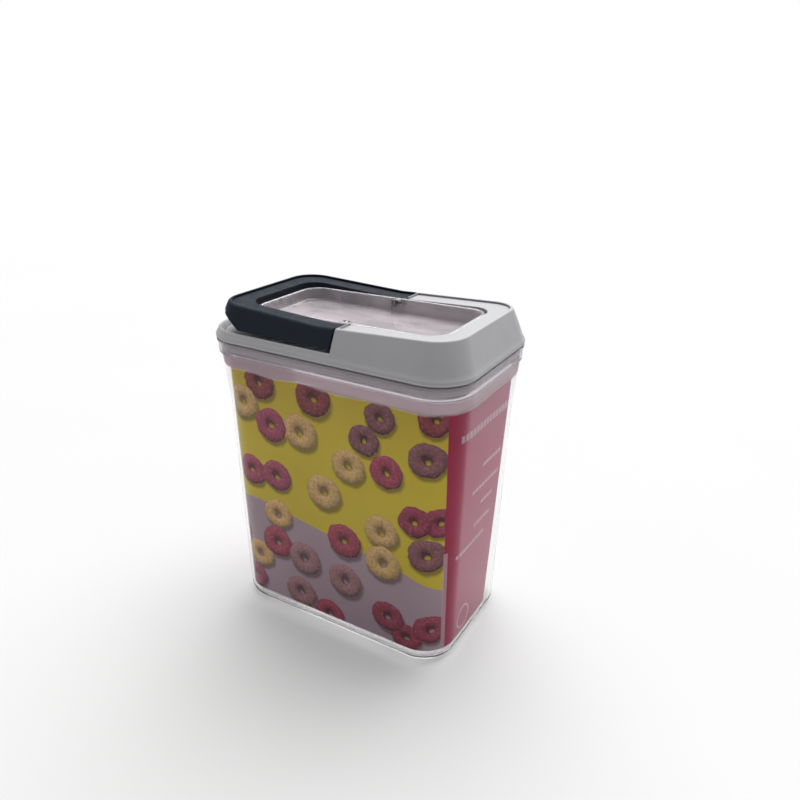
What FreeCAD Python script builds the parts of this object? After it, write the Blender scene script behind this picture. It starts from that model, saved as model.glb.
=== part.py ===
"""Flip-lever airtight cereal container, in millimetres.

+X is to the right along the length, +Y goes to the back, +Z is up.
The origin is the centre of the footprint on the table.
The lever covers the left half of the lid and swings up about a pin axis along Y.
"""
import FreeCAD, Part

import math
import os

from FreeCAD import Vector

# ---- driving dimensions -------------------------------------------------------------
LIP_HALF_LENGTH = 100.0      # lid rim, half of the overall length
LIP_HALF_WIDTH = 63.4
LIP_RADIUS = 27.4            # plan radius of the lid rim's corners
FLANGE_TOP = 215.6           # the lid frame rests on this ring of the container
WALL = 1.6                   # container wall
FLOOR = 2.6                  # container floor

SEAM_X = 8.9                 # left edge of the raised half of the lid frame
VALLEY_X = -4.0              # the lid's top is lowest here and rises to both ends
VALLEY_Z = 236.9
TOP_RISE = 0.045             # rise of the top for each millimetre of length

PIVOT_X = 3.1                # lever pin axis
PIVOT_Z = 233.5
PIN_RADIUS = 1.5
PIN_RUNNING_GAP = 0.05
PIN_SEAT_GAP = 0.02

PLATE_DROP = 2.0             # the press tub sinks this far while the lever turns a quarter turn
CAM_HEIGHT = 6.6             # pin axis down to the cam's foot with the lever shut
CAM_GAP = 0.3                # cam to pad

TUB_HALF_LENGTH = 75.0
TUB_HALF_WIDTH = 35.8
TUB_RADIUS = 13.0
TUB_FLOOR_TOP = 225.8
TUB_RIM_Z = 236.2            # rim height at mid-length
TUB_RIM_RISE = 0.02

CARD_BOTTOM = 10.0
CARD_TOP = 195.5
CARD_BACK_Y = 20.0           # back edge of the two side panels, at table height
CARD_BACK_LEAN = 0.07        # how far that edge leans back for each millimetre of height
CARD_GAP = 0.5               # card to container wall
CARD_THICKNESS = 0.5

FAR = 130.0                  # beyond every part, for shapes that cut everything on one side


# ---- helpers ------------------------------------------------------------------------
def rounded_wire(half_length, half_width, radius, z):
    """Closed rounded rectangle, centred on the Z axis."""
    x = half_length - radius
    y = half_width - radius
    edges = []
    for corner in range(4):
        start = math.radians(90 * corner)
        sign_x = 1 if corner in (0, 3) else -1
        sign_y = 1 if corner in (0, 1) else -1
        centre = Vector(sign_x * x, sign_y * y, z)
        ends = [centre + Vector(radius * math.cos(start + turn), radius * math.sin(start + turn), 0)
                for turn in (0, math.pi / 4, math.pi / 2)]
        edges.append(Part.Arc(*ends).toShape())
        next_x = 1 if (corner + 1) % 4 in (0, 3) else -1
        next_y = 1 if (corner + 1) % 4 in (0, 1) else -1
        following = Vector(next_x * x, next_y * y, z)
        turned = start + math.pi / 2
        arrival = following + Vector(radius * math.cos(turned), radius * math.sin(turned), 0)
        edges.append(Part.LineSegment(ends[2], arrival).toShape())
    return Part.Wire(edges)


def stack(rings):
    """Solid through rings of (z, half length, half width, corner radius)."""
    wires = [rounded_wire(hx, hy, radius, z) for z, hx, hy, radius in rings]
    return Part.makeLoft(wires, True, True)


def prism(half_length, half_width, radius, low, high):
    """Upright rounded-rectangle prism."""
    return stack([(low, half_length, half_width, radius), (high, half_length, half_width, radius)])


def block(x0, x1, y0, y1, z0, z1):
    """Box between two corners."""
    return Part.makeBox(x1 - x0, y1 - y0, z1 - z0, Vector(x0, y0, z0))


def extrude_xz(points, y0, y1):
    """Prism along Y of a closed outline given in X and Z."""
    outline = [Vector(x, y0, z) for x, z in points]
    face = Part.Face(Part.makePolygon(outline + outline[:1]))
    return face.extrude(Vector(0, y1 - y0, 0))


def extrude_yz(points, x0, x1):
    """Prism along X of a closed outline given in Y and Z."""
    outline = [Vector(x0, y, z) for y, z in points]
    face = Part.Face(Part.makePolygon(outline + outline[:1]))
    return face.extrude(Vector(x1 - x0, 0, 0))


def cylinder_y(radius, y0, y1, x=PIVOT_X, z=PIVOT_Z):
    """Round bar along Y."""
    return Part.makeCylinder(radius, y1 - y0, Vector(x, y0, z), Vector(0, 1, 0))


def mirrored(shape):
    """Copy of a shape on the other side of the length axis."""
    return shape.mirror(Vector(0, 0, 0), Vector(0, 1, 0))


def edges_where(shape, test):
    """Edges whose every sample point passes the test."""
    picked = []
    for edge in shape.Edges:
        samples = [edge.valueAt(edge.FirstParameter + share * (edge.LastParameter - edge.FirstParameter))
                   for share in (0.02, 0.5, 0.98)]
        if all(test(point) for point in samples):
            picked.append(edge)
    return picked


def top_z(x, drop=0.0):
    """Height of the lid's sloping top, less a drop."""
    return VALLEY_Z + TOP_RISE * abs(x - VALLEY_X) - drop


def above_top(drop):
    """Everything above the lid's sloping top, less a drop."""
    sky = top_z(FAR) + 40
    outline = [(-FAR, top_z(-FAR, drop)), (VALLEY_X, top_z(VALLEY_X, drop)),
               (FAR, top_z(FAR, drop)), (FAR, sky), (-FAR, sky)]
    return extrude_xz(outline, -FAR, FAR)


# ---- container ----------------------------------------------------------------------
# Outer rings from the base up: tapered body, flared neck, step, collar and flange.
BODY_BASE = (91.0, 56.0, 26.0)
BODY_SHOULDER = (95.6, 57.4, 25.5)
SHOULDER_Z = 172.0
NECK_TOP = (98.3, 59.8, 25.5)
NECK_TOP_Z = 204.4
COLLAR_LOW = (99.0, 61.8, 26.3)
COLLAR_LOW_Z = 205.4
COLLAR_HIGH = (99.2, 62.4, 26.8)
COLLAR_HIGH_Z = 213.0
FLANGE = (99.8, 63.2, 27.2)
NECK_BORE = (97.0, 60.2, 24.8)     # upright inner wall that the gasket seals against
NECK_BORE_LOW_Z = 206.0
BASE_ROUNDING = 8.5
BASE_RECESS = 1.0
FOOT_RING_WIDTH = 14.0             # body side to the recess under the base


def inset(section, amount):
    """A section (half length, half width, radius) drawn in by an amount."""
    return tuple(size - amount for size in section)


def container():
    """Clear open box with a foot ring, a flared neck, a collar and a flange."""
    outer = stack([(0, *BODY_BASE), (SHOULDER_Z, *BODY_SHOULDER), (NECK_TOP_Z, *NECK_TOP),
                   (COLLAR_LOW_Z, *COLLAR_LOW), (COLLAR_HIGH_Z, *COLLAR_HIGH),
                   (COLLAR_HIGH_Z + 0.5, *FLANGE), (FLANGE_TOP, *FLANGE)])
    base_edges = edges_where(outer, lambda point: point.z < 0.01)
    outer = outer.makeFillet(BASE_ROUNDING, base_edges)
    inner = stack([(FLOOR, *inset(BODY_BASE, WALL)), (SHOULDER_Z, *inset(BODY_SHOULDER, WALL)),
                   (NECK_BORE_LOW_Z - 1.0, *inset(NECK_TOP, WALL)), (NECK_BORE_LOW_Z, *NECK_BORE),
                   (FLANGE_TOP + 1, *NECK_BORE)])
    floor_edges = edges_where(inner, lambda point: point.z < FLOOR + 0.01)
    inner = inner.makeFillet(BASE_ROUNDING - WALL, floor_edges)
    recess = prism(*inset(BODY_BASE, FOOT_RING_WIDTH), -1, BASE_RECESS)
    return outer.cut(inner).cut(recess)


def card_section(z, gap):
    """Section of the straight tapered inner wall at a height, drawn in by a gap."""
    share = z / SHOULDER_Z
    return tuple(low + share * (high - low) - WALL - gap
                 for low, high in zip(BODY_BASE, BODY_SHOULDER))


def insert_card():
    """Printed card in three panels: left end, front and right end."""
    outer = stack([(z, *card_section(z, CARD_GAP)) for z in (CARD_BOTTOM, CARD_TOP)])
    hollow = stack([(z, *card_section(z, CARD_GAP + CARD_THICKNESS))
                    for z in (CARD_BOTTOM - 1, CARD_TOP + 1)])
    sky = CARD_TOP + 20
    back = extrude_yz([(CARD_BACK_Y, 0), (FAR, 0), (FAR, sky), (CARD_BACK_Y + CARD_BACK_LEAN * sky, sky)],
                      -FAR, FAR)
    return outer.cut(hollow).cut(back)


# ---- lid frame ----------------------------------------------------------------------
RIM_Z = 217.4                # the widest line of the lid rim
BEVEL_FOOT_Z = 219.0
BEVEL_END_SLOPE = 0.37       # inward millimetres for each millimetre of height
BEVEL_SIDE_SLOPE = 0.50
BEVEL_RADIUS_SLOPE = 0.34
BEVEL_STEP = 0.3             # the bevel starts this far inside the rim
SKIN = 2.2                   # walls of the frame and lever
LIP_WIDTH = 2.2              # raised crest around the sunken deck
SEAM_LIP_WIDTH = 1.2         # thin crest along the seam
DECK_DROP = 1.5
SHOULDER_LIP_Z = 222.8       # low half of the frame, under the lever
SHOULDER_LIP_WIDTH = 2.0
WEB_TOP = 219.4
WEB_BOTTOM = 217.0
OPENING = (77.2, 37.6, 14.6) # hole around the tub
PLUG = (96.2, 59.4, 24.0)
PLUG_BOTTOM = 213.0
LEDGE_THICKNESS = 1.2        # seat that rests on the container's flange


def bevel_section(z, amount=0.0):
    """Section of the lid's bevelled outside at a height, drawn in by an amount."""
    height = z - BEVEL_FOOT_Z
    return (LIP_HALF_LENGTH - BEVEL_STEP - BEVEL_END_SLOPE * height - amount,
            LIP_HALF_WIDTH - BEVEL_STEP - BEVEL_SIDE_SLOPE * height - amount,
            LIP_RADIUS - BEVEL_STEP - BEVEL_RADIUS_SLOPE * height - amount)


def bevel_solid(low, high, amount=0.0):
    """Bevelled lid shape between two heights."""
    return stack([(z, *bevel_section(z, amount)) for z in (low, high)])


def rim_solid():
    """Rounded rim band at the bottom of the lid."""
    widest = (LIP_HALF_LENGTH, LIP_HALF_WIDTH, LIP_RADIUS)
    return stack([(FLANGE_TOP + 0.4, *inset(widest, 0.9)), (FLANGE_TOP + 1.0, *inset(widest, 0.25)),
                  (RIM_Z, *widest), (BEVEL_FOOT_Z, *bevel_section(BEVEL_FOOT_Z))])


def cam_pad():
    """Pad on the frame that one lever cam turns on."""
    top = PIVOT_Z - CAM_HEIGHT - CAM_GAP
    return block(PIVOT_X - 5.5, PIVOT_X + 2.5, CAM_Y0 + 0.6, CAM_Y1 - 0.6, WEB_BOTTOM, top)


def lid_frame():
    """Light ring moulding: low shoulder on the left, raised bevelled half on the right."""
    sky = top_z(LIP_HALF_LENGTH) + 10
    raised = bevel_solid(BEVEL_FOOT_Z, sky).cut(above_top(0))
    raised = raised.cut(block(-FAR, SEAM_X, -FAR, FAR, 0, sky + 1))
    crest = edges_where(raised, lambda p: p.z > top_z(p.x) - 0.05 and p.x > SEAM_X + 0.01)
    crest += edges_where(raised, lambda p: abs(p.x - SEAM_X) < 0.01 and p.z > top_z(p.x) - 0.05)
    raised = raised.makeFillet(1.0, crest)
    shoulder = bevel_solid(BEVEL_FOOT_Z, SHOULDER_LIP_Z)
    shoulder_edge = edges_where(shoulder, lambda p: p.z > SHOULDER_LIP_Z - 0.01)
    shoulder = shoulder.makeFillet(0.7, shoulder_edge)
    shoulder = shoulder.cut(bevel_solid(WEB_TOP, SHOULDER_LIP_Z + 2, SHOULDER_LIP_WIDTH))
    body = rim_solid().fuse([raised, shoulder])

    deck = bevel_solid(BEVEL_FOOT_Z, sky, LIP_WIDTH).common(above_top(DECK_DROP))
    deck = deck.cut(block(-FAR, SEAM_X + SEAM_LIP_WIDTH, -FAR, FAR, 0, sky + 1))
    body = body.cut(deck)

    hollow = bevel_solid(FLANGE_TOP - 1, sky, SKIN).cut(above_top(DECK_DROP + SKIN))
    hollow = hollow.cut(block(-FAR, SEAM_X + SKIN, -FAR, FAR, 0, sky))
    hollow = hollow.cut(prism(*inset(OPENING, -SKIN), 0, sky))
    body = body.cut(hollow)
    under_web = prism(*inset(PLUG, SKIN), FLANGE_TOP - 1, WEB_BOTTOM)
    body = body.cut(under_web)

    ledge = prism(*inset(FLANGE, 0.9), FLANGE_TOP, FLANGE_TOP + LEDGE_THICKNESS)
    plug = prism(*PLUG, PLUG_BOTTOM, FLANGE_TOP + LEDGE_THICKNESS)
    ring = ledge.fuse(plug).cut(prism(*inset(PLUG, SKIN), PLUG_BOTTOM - 1, FLANGE_TOP + 2))
    pad = cam_pad()
    body = body.fuse([ring, pad, mirrored(pad)])
    body = body.cut(prism(*OPENING, 0, sky))
    return body.removeSplitter()


# ---- flip lever ---------------------------------------------------------------------
LEVER_END_X = 7.7            # right end of the two arms
LEVER_FOOT_Z = 225.0
CREASE_Z = 232.5             # widest line of the lever's free end
CREASE_X = 94.2
UNDERCUT_SLOPE = 1.1
UNDERCUT_RADIUS = 40.0
UNDERCUT_HALF_WIDTH = 66.0
UNDERCUT_SWELL = 0.5         # outward millimetres for each millimetre above the crease
END_BAR_WALL = 10.5          # thickness of the free end at the crease
LEVER_LIP_WIDTH = 2.6
LEVER_DECK_DROP = 1.6
LEVER_SKIN = 2.5
CAM_Y0 = 39.6
CAM_Y1 = 45.8


def undercut_solid():
    """Shape that tucks the lever's free end in below its crease, for the finger grip."""
    below = CREASE_Z - LEVER_FOOT_Z + 1
    foot = CREASE_X - UNDERCUT_SLOPE * below
    above = 20.0
    head = CREASE_X + UNDERCUT_SWELL * above
    return stack([(CREASE_Z - below, foot, UNDERCUT_HALF_WIDTH, UNDERCUT_RADIUS),
                  (CREASE_Z, CREASE_X, UNDERCUT_HALF_WIDTH, UNDERCUT_RADIUS),
                  (CREASE_Z + above, head, UNDERCUT_HALF_WIDTH, UNDERCUT_RADIUS)])


def cam_outline():
    """Cam edge from its foot to the arm's end, sinking evenly as the lever turns."""
    rate = PLATE_DROP / (math.pi / 2)
    points = []
    steps = 12
    for step in range(steps + 1):
        turn = math.radians(90.0 * step / steps)
        height = CAM_HEIGHT - rate * turn
        x = height * math.sin(turn) - rate * math.cos(turn)
        z = -height * math.cos(turn) - rate * math.sin(turn)
        points.append((PIVOT_X + x, PIVOT_Z + z))
    return points


def cam_web():
    """Solid web inside one arm, with the cam at its foot and the pin's bore."""
    deck = top_z(LEVER_END_X, LEVER_DECK_DROP + 0.5)
    left = PIVOT_X - 9.0
    foot = PIVOT_Z - CAM_HEIGHT
    outline = cam_outline() + [(LEVER_END_X, deck), (left, deck), (left, foot)]
    return extrude_xz(outline, CAM_Y0 - 0.5, CAM_Y1)


def flip_lever():
    """Dark U-shaped lever: end bar, two arms, raised crest, sunken deck and two cams."""
    sky = top_z(-LIP_HALF_LENGTH) + 10
    outside = bevel_solid(LEVER_FOOT_Z, sky).common(undercut_solid()).cut(above_top(0))
    outside = outside.cut(block(LEVER_END_X, FAR, -FAR, FAR, 0, sky + 1))
    crest = edges_where(outside, lambda p: p.z > top_z(p.x) - 0.05)
    outside = outside.makeFillet(1.4, crest)

    deck = bevel_solid(LEVER_FOOT_Z, sky, LEVER_LIP_WIDTH).common(above_top(LEVER_DECK_DROP))
    outside = outside.cut(deck)
    hollow = bevel_solid(LEVER_FOOT_Z - 1, sky, LEVER_SKIN).cut(above_top(LEVER_DECK_DROP + SKIN))
    hollow = hollow.common(prism(CREASE_X - END_BAR_WALL, FAR, UNDERCUT_RADIUS, 0, sky))
    hollow = hollow.cut(prism(*inset(OPENING, -SKIN), 0, sky))
    body = outside.cut(hollow)
    web = cam_web()
    body = body.fuse([web, mirrored(web)])
    body = body.cut(prism(*OPENING, 0, sky))
    bore = cylinder_y(PIN_RADIUS + PIN_RUNNING_GAP, -CAM_Y1 + 1.2, CAM_Y1 - 1.2)
    return body.cut(bore).removeSplitter()


# ---- press tub ----------------------------------------------------------------------
TUB_WALL = 1.8
FLANGE_LOW = 205.8
FLANGE_HIGH = 208.0
PRESS_FLANGE = (94.6, 57.5, 22.1)
BOSS_WIDTH = 8.0
BOSS_Y = 30.4                # inner face of the pin bosses
RIM_BEAD = 0.9               # how far the tub's rim bead stands out
RIM_BEAD_HEIGHT = 1.6


def tub_section(z, amount=0.0):
    """Outside of the tub wall, which narrows a little towards the floor."""
    draft = 0.02 * (TUB_RIM_Z - z)
    return (TUB_HALF_LENGTH - draft - amount, TUB_HALF_WIDTH - draft - amount,
            TUB_RADIUS - draft - amount)


def tub_rim_z(x):
    """Height of the tub's rim, which slopes up to the right."""
    return TUB_RIM_Z + TUB_RIM_RISE * x


def press_tub():
    """Clear window tub; its wall carries the press flange below the frame."""
    high = TUB_RIM_Z + 8
    wall = stack([(z, *tub_section(z)) for z in (FLANGE_LOW, high)])
    bead = prism(*inset(tub_section(TUB_RIM_Z), -RIM_BEAD), TUB_RIM_Z - 6, high)
    below_bead = extrude_xz([(-FAR, 0), (FAR, 0), (FAR, tub_rim_z(FAR) - RIM_BEAD_HEIGHT),
                             (-FAR, tub_rim_z(-FAR) - RIM_BEAD_HEIGHT)], -FAR, FAR)
    above_rim = extrude_xz([(-FAR, 300), (FAR, 300), (FAR, tub_rim_z(FAR)),
                            (-FAR, tub_rim_z(-FAR))], -FAR, FAR)
    solid = wall.fuse(bead.cut(below_bead)).cut(above_rim)
    upper = stack([(z, *tub_section(z, TUB_WALL)) for z in (TUB_FLOOR_TOP, high + 1)])
    upper = upper.makeFillet(2.0, edges_where(upper, lambda p: p.z < TUB_FLOOR_TOP + 0.01))
    lower = stack([(z, *tub_section(z, TUB_WALL)) for z in (FLANGE_LOW - 1, TUB_FLOOR_TOP - 2)])
    solid = solid.cut(upper).cut(lower)
    boss = block(PIVOT_X - BOSS_WIDTH / 2, PIVOT_X + BOSS_WIDTH / 2, BOSS_Y,
                 TUB_HALF_WIDTH - 1.0, TUB_FLOOR_TOP - 1.0, TUB_RIM_Z - 0.1)
    boss = boss.makeFillet(1.2, edges_where(boss, lambda p: p.y < BOSS_Y + 0.01))
    flange = prism(*PRESS_FLANGE, FLANGE_LOW, FLANGE_HIGH)
    flange = flange.cut(prism(*tub_section(FLANGE_LOW, TUB_WALL / 2), 0, TUB_RIM_Z))
    solid = solid.fuse([flange, boss, mirrored(boss)])
    bore = cylinder_y(PIN_RADIUS + PIN_SEAT_GAP, -FAR, FAR)
    cap_seat = cylinder_y(CAP_RADIUS, -BOSS_Y - CAP_DEPTH, BOSS_Y + CAP_DEPTH)
    return solid.cut(bore).cut(cap_seat).removeSplitter()


# ---- pins, caps, gasket and retainer ------------------------------------------------
CAP_RADIUS = 1.9
CAP_DEPTH = 1.5
PIN_START_Y = BOSS_Y + CAP_DEPTH
PIN_END_Y = CAM_Y1 - 1.6


def pivot_pin():
    """Steel dowel held in the tub's boss; the lever arm turns on its outer half."""
    pin = cylinder_y(PIN_RADIUS, PIN_START_Y, PIN_END_Y)
    ends = edges_where(pin, lambda p: p.y < PIN_START_Y + 0.01 or p.y > PIN_END_Y - 0.01)
    return pin.makeChamfer(0.25, ends)


def pin_cap():
    """Domed cap pressed into the boss over the pin's inner end."""
    plug = cylinder_y(CAP_RADIUS - PIN_SEAT_GAP, BOSS_Y, PIN_START_Y)
    dome = cylinder_y(CAP_RADIUS + 0.5, BOSS_Y - 0.9, BOSS_Y)
    dome = dome.makeFillet(0.7, edges_where(dome, lambda p: p.y < BOSS_Y - 0.89))
    return plug.fuse(dome).removeSplitter()


GASKET_TOP = 212.7
GASKET = (96.6, 59.8, 24.4)
GASKET_INNER = (90.6, 53.8, 18.4)
RETAINER_GAP = 0.3
RETAINER_WALL = 1.7
RETAINER_FOOT = 5.7          # width of the retainer's foot on the press flange


def gasket():
    """Silicone ring on the press flange, with a rounded sealing edge."""
    ring = prism(*GASKET, FLANGE_HIGH, GASKET_TOP)
    sealing_edges = edges_where(ring, lambda p: p.z < FLANGE_HIGH + 0.01 or p.z > GASKET_TOP - 0.01)
    ring = ring.makeFillet(1.6, sealing_edges)
    return ring.cut(prism(*GASKET_INNER, FLANGE_HIGH - 1, GASKET_TOP + 1))


def gasket_retainer():
    """Ring that snaps on the tub wall and holds the gasket's inner edge down."""
    outside = inset(GASKET_INNER, RETAINER_GAP)
    foot = prism(*outside, FLANGE_HIGH, FLANGE_HIGH + 1.6)
    foot = foot.cut(prism(*inset(outside, RETAINER_FOOT), FLANGE_HIGH - 1, FLANGE_HIGH + 3))
    wall = prism(*outside, FLANGE_HIGH, GASKET_TOP - 0.6)
    wall = wall.cut(prism(*inset(outside, RETAINER_WALL), FLANGE_HIGH - 1, GASKET_TOP + 1))
    return wall.fuse(foot).removeSplitter()


# ---- write the nodes ----------------------------------------------------------------
def main():
    pin = pivot_pin()
    cap = pin_cap()
    nodes = {
        "container": container(),
        "insert_card": insert_card(),
        "lid_frame": lid_frame(),
        "flip_lever": flip_lever(),
        "press_tub": press_tub(),
        "gasket": gasket(),
        "gasket_retainer": gasket_retainer(),
        "pivot_pin_rear": pin,
        "pivot_pin_front": mirrored(pin),
        "pin_cap_rear": cap,
        "pin_cap_front": mirrored(cap),
    }
    os.makedirs("parts", exist_ok=True)
    for name, shape in nodes.items():
        shape.exportStep("parts/" + name + ".step")
        print(name, len(shape.Solids), shape.isValid(), round(shape.Volume))


main()
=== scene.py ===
"""Looks of the flip-lever cereal container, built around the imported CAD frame. Metres, +Z up."""

import math

import bmesh
import bpy
from mathutils import Matrix, Vector


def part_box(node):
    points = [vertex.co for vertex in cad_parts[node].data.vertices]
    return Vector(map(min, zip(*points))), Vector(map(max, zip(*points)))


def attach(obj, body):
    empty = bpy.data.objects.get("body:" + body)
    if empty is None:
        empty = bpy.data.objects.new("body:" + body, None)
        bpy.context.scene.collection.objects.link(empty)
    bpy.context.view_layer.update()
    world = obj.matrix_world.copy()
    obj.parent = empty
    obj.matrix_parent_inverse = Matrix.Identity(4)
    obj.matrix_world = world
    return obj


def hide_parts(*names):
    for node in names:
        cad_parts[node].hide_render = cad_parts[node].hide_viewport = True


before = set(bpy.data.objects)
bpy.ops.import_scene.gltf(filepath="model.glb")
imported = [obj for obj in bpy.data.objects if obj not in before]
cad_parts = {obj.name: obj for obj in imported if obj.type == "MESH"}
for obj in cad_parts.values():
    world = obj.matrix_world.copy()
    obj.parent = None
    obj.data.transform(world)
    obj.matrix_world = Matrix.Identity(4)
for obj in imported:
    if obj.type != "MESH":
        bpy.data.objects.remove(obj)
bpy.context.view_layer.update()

MM = 0.001


# ---- node helpers ----------------------------------------
class Nodes:
    """Short forms for building a node tree."""

    def __init__(self, tree):
        self.tree = tree

    def add(self, kind, **settings):
        node = self.tree.nodes.new(kind)
        for key, value in settings.items():
            setattr(node, key, value)
        return node

    def plug(self, value, socket):
        """Link an output, or set a plain value."""
        if isinstance(value, bpy.types.NodeSocket):
            self.tree.links.new(value, socket)
        elif value is not None:
            socket.default_value = value

    def math(self, operation, a, b=None, clamp=False):
        node = self.add("ShaderNodeMath", operation=operation, use_clamp=clamp)
        self.plug(a, node.inputs[0])
        self.plug(b, node.inputs[1])
        return node.outputs[0]

    def vector(self, operation, a, b=None):
        node = self.add("ShaderNodeVectorMath", operation=operation)
        self.plug(a, node.inputs[0])
        self.plug(b, node.inputs[1])
        return node.outputs["Value" if operation in ("LENGTH", "DOT_PRODUCT") else "Vector"]

    def scaled(self, vector, factor):
        node = self.add("ShaderNodeVectorMath", operation="SCALE")
        self.plug(vector, node.inputs[0])
        self.plug(factor, node.inputs["Scale"])
        return node.outputs["Vector"]

    def step(self, value, low, high, to_low=0.0, to_high=1.0):
        """Smooth step of a value between two limits."""
        node = self.add("ShaderNodeMapRange", interpolation_type="SMOOTHSTEP")
        self.plug(value, node.inputs["Value"])
        limits = {"From Min": low, "From Max": high, "To Min": to_low, "To Max": to_high}
        for name, number in limits.items():
            self.plug(number, node.inputs[name])
        return node.outputs["Result"]

    def mix(self, factor, a, b, blend="MIX"):
        node = self.add("ShaderNodeMix", data_type="RGBA", blend_type=blend)
        self.plug(factor, node.inputs[0])
        self.plug(a, node.inputs[6])
        self.plug(b, node.inputs[7])
        return node.outputs[2]

    def noise(self, position, scale, detail=2.0, roughness=0.5):
        """Noise between 0 and 1; scale is in waves for each metre."""
        node = self.add("ShaderNodeTexNoise")
        self.plug(position, node.inputs["Vector"])
        set_inputs(node, {"Scale": scale, "Detail": detail, "Roughness": roughness})
        return node.outputs["Fac"]

    def bump(self, height, strength, distance, normal=None):
        node = self.add("ShaderNodeBump")
        set_inputs(node, {"Strength": strength, "Distance": distance})
        self.plug(height, node.inputs["Height"])
        self.plug(normal, node.inputs["Normal"])
        return node.outputs["Normal"]


def set_inputs(node, values):
    """Set plain values on a node's inputs."""
    for name, value in values.items():
        node.inputs[name].default_value = value


def new_material(name):
    """A node material, its node helper and its shader."""
    material = bpy.data.materials.new(name)
    material.use_nodes = True
    return material, Nodes(material.node_tree), material.node_tree.nodes["Principled BSDF"]


def object_position(nodes):
    """Place on the piece, in metres."""
    return nodes.add("ShaderNodeTexCoord").outputs["Object"]


# ---- materials -------------------------------------------
TINT_FROM = 150.0            # the container's wall greys a little between these heights,
TINT_TO = 195.0
MILK_FROM = 197.5            # and is milky above these, in millimetres
MILK_TO = 200.5
FINE_GRAIN = 0.00003         # depth of the grain on moulded parts, in metres
FRAME_GREY = (0.37, 0.37, 0.385)
LEVER_NAVY = (0.018, 0.023, 0.032)
RETAINER_WHITE = (0.62, 0.60, 0.62)


def clear_container():
    """Clear moulded plastic with faint flow waves; the thick neck is hazier and tinted pink, a painted
    reflection of the card, and the flange's top edge carries a painted dark line of seam shadow under the
    lid's rim.
    """
    material, nodes, shader = new_material("clear_body")
    position = object_position(nodes)
    parts = nodes.add("ShaderNodeSeparateXYZ")
    nodes.plug(position, parts.inputs[0])
    up = parts.outputs["Z"]
    wavy_up = nodes.math("ADD", up, nodes.math("MULTIPLY", nodes.noise(position, 35, 2), 0.006))
    wall = nodes.step(up, TINT_FROM * MM, TINT_TO * MM)
    neck = nodes.step(wavy_up, MILK_FROM * MM, MILK_TO * MM)
    collar = nodes.step(up, (NECK_TOP_Z + 0.1) * MM, (COLLAR_LOW_Z + 0.1) * MM)
    # painted shade: a thin dark band on top of the flange stands in for the shadow in the seam under the
    # lid's rim
    edge = nodes.step(up, (FLANGE_TOP - 0.7) * MM, (FLANGE_TOP - 0.3) * MM)
    tint = nodes.mix(wall, (0.97, 0.965, 0.97, 1), (0.90, 0.88, 0.90, 1))
    # painted reflection: the neck's pink tint stands in for the pink card reflected and refracted in the
    # thick neck; its milkiness is real haze
    tint = nodes.mix(neck, tint, (0.52, 0.41, 0.45, 1))
    tint = nodes.mix(collar, tint, (0.70, 0.66, 0.69, 1))
    nodes.plug(nodes.mix(edge, tint, (0.28, 0.26, 0.28, 1)), shader.inputs["Base Color"])
    milky = nodes.math("MULTIPLY", nodes.math("SUBTRACT", neck, nodes.math("MULTIPLY", collar, 0.6)), 0.55)
    nodes.plug(nodes.math("SUBTRACT", 1.0, milky), shader.inputs["Transmission Weight"])
    shader.inputs["IOR"].default_value = 1.2
    haze = nodes.noise(position, 60, 3)
    clear = nodes.step(haze, 0.3, 0.75, 0.015, 0.05)
    nodes.plug(nodes.math("ADD", clear, nodes.math("MULTIPLY", neck, 0.09)), shader.inputs["Roughness"])
    nodes.plug(nodes.bump(nodes.noise(position, 22, 1), 0.25, 0.0006), shader.inputs["Normal"])
    return material


def clear_boss():
    """Thick clear plastic with small flow marks, which sparkles at its edges."""
    material, nodes, shader = new_material("clear_boss")
    position = object_position(nodes)
    set_inputs(shader, {"Base Color": (0.93, 0.91, 0.93, 1), "Transmission Weight": 1.0, "IOR": 1.5})
    marks = nodes.noise(position, 180, 2)
    nodes.plug(nodes.step(marks, 0.3, 0.7, 0.02, 0.07), shader.inputs["Roughness"])
    nodes.plug(nodes.bump(marks, 0.35, 0.0006), shader.inputs["Normal"])
    return material


def clear_tub():
    """Smoky clear plastic with cloudy patches, as on the window tub."""
    material, nodes, shader = new_material("clear_tub")
    position = object_position(nodes)
    cloud = nodes.noise(nodes.vector("MULTIPLY", position, (0.5, 1, 1)), 34, 3, 0.6)
    patch = nodes.step(cloud, 0.36, 0.64)
    nodes.plug(nodes.mix(patch, (0.86, 0.82, 0.85, 1), (0.93, 0.87, 0.90, 1)), shader.inputs["Base Color"])
    nodes.plug(nodes.math("SUBTRACT", 0.77, nodes.math("MULTIPLY", patch, 0.10)),
               shader.inputs["Transmission Weight"])
    shader.inputs["IOR"].default_value = 1.5
    nodes.plug(nodes.math("ADD", nodes.math("MULTIPLY", patch, 0.06), 0.04), shader.inputs["Roughness"])
    nodes.plug(nodes.bump(nodes.noise(position, 25, 1), 0.3, 0.0006), shader.inputs["Normal"])
    return material


def satin_plastic(name, color, roughness, specular=0.5):
    """Moulded opaque plastic with a fine spark-eroded grain and slight colour drift."""
    material, nodes, shader = new_material(name)
    position = object_position(nodes)
    drift = nodes.noise(position, 18, 3)
    darker = tuple(channel * 0.93 for channel in color)
    drifted = nodes.mix(nodes.step(drift, 0.3, 0.7), (*darker, 1), (*color, 1))
    nodes.plug(drifted, shader.inputs["Base Color"])
    rub = nodes.noise(position, 140, 4, 0.6)
    nodes.plug(nodes.step(rub, 0.25, 0.8, roughness * 0.85, roughness * 1.2), shader.inputs["Roughness"])
    grain = nodes.noise(position, 2600, 2)
    nodes.plug(nodes.bump(grain, 0.35, FINE_GRAIN), shader.inputs["Normal"])
    shader.inputs["Specular IOR Level"].default_value = specular
    return material


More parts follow.
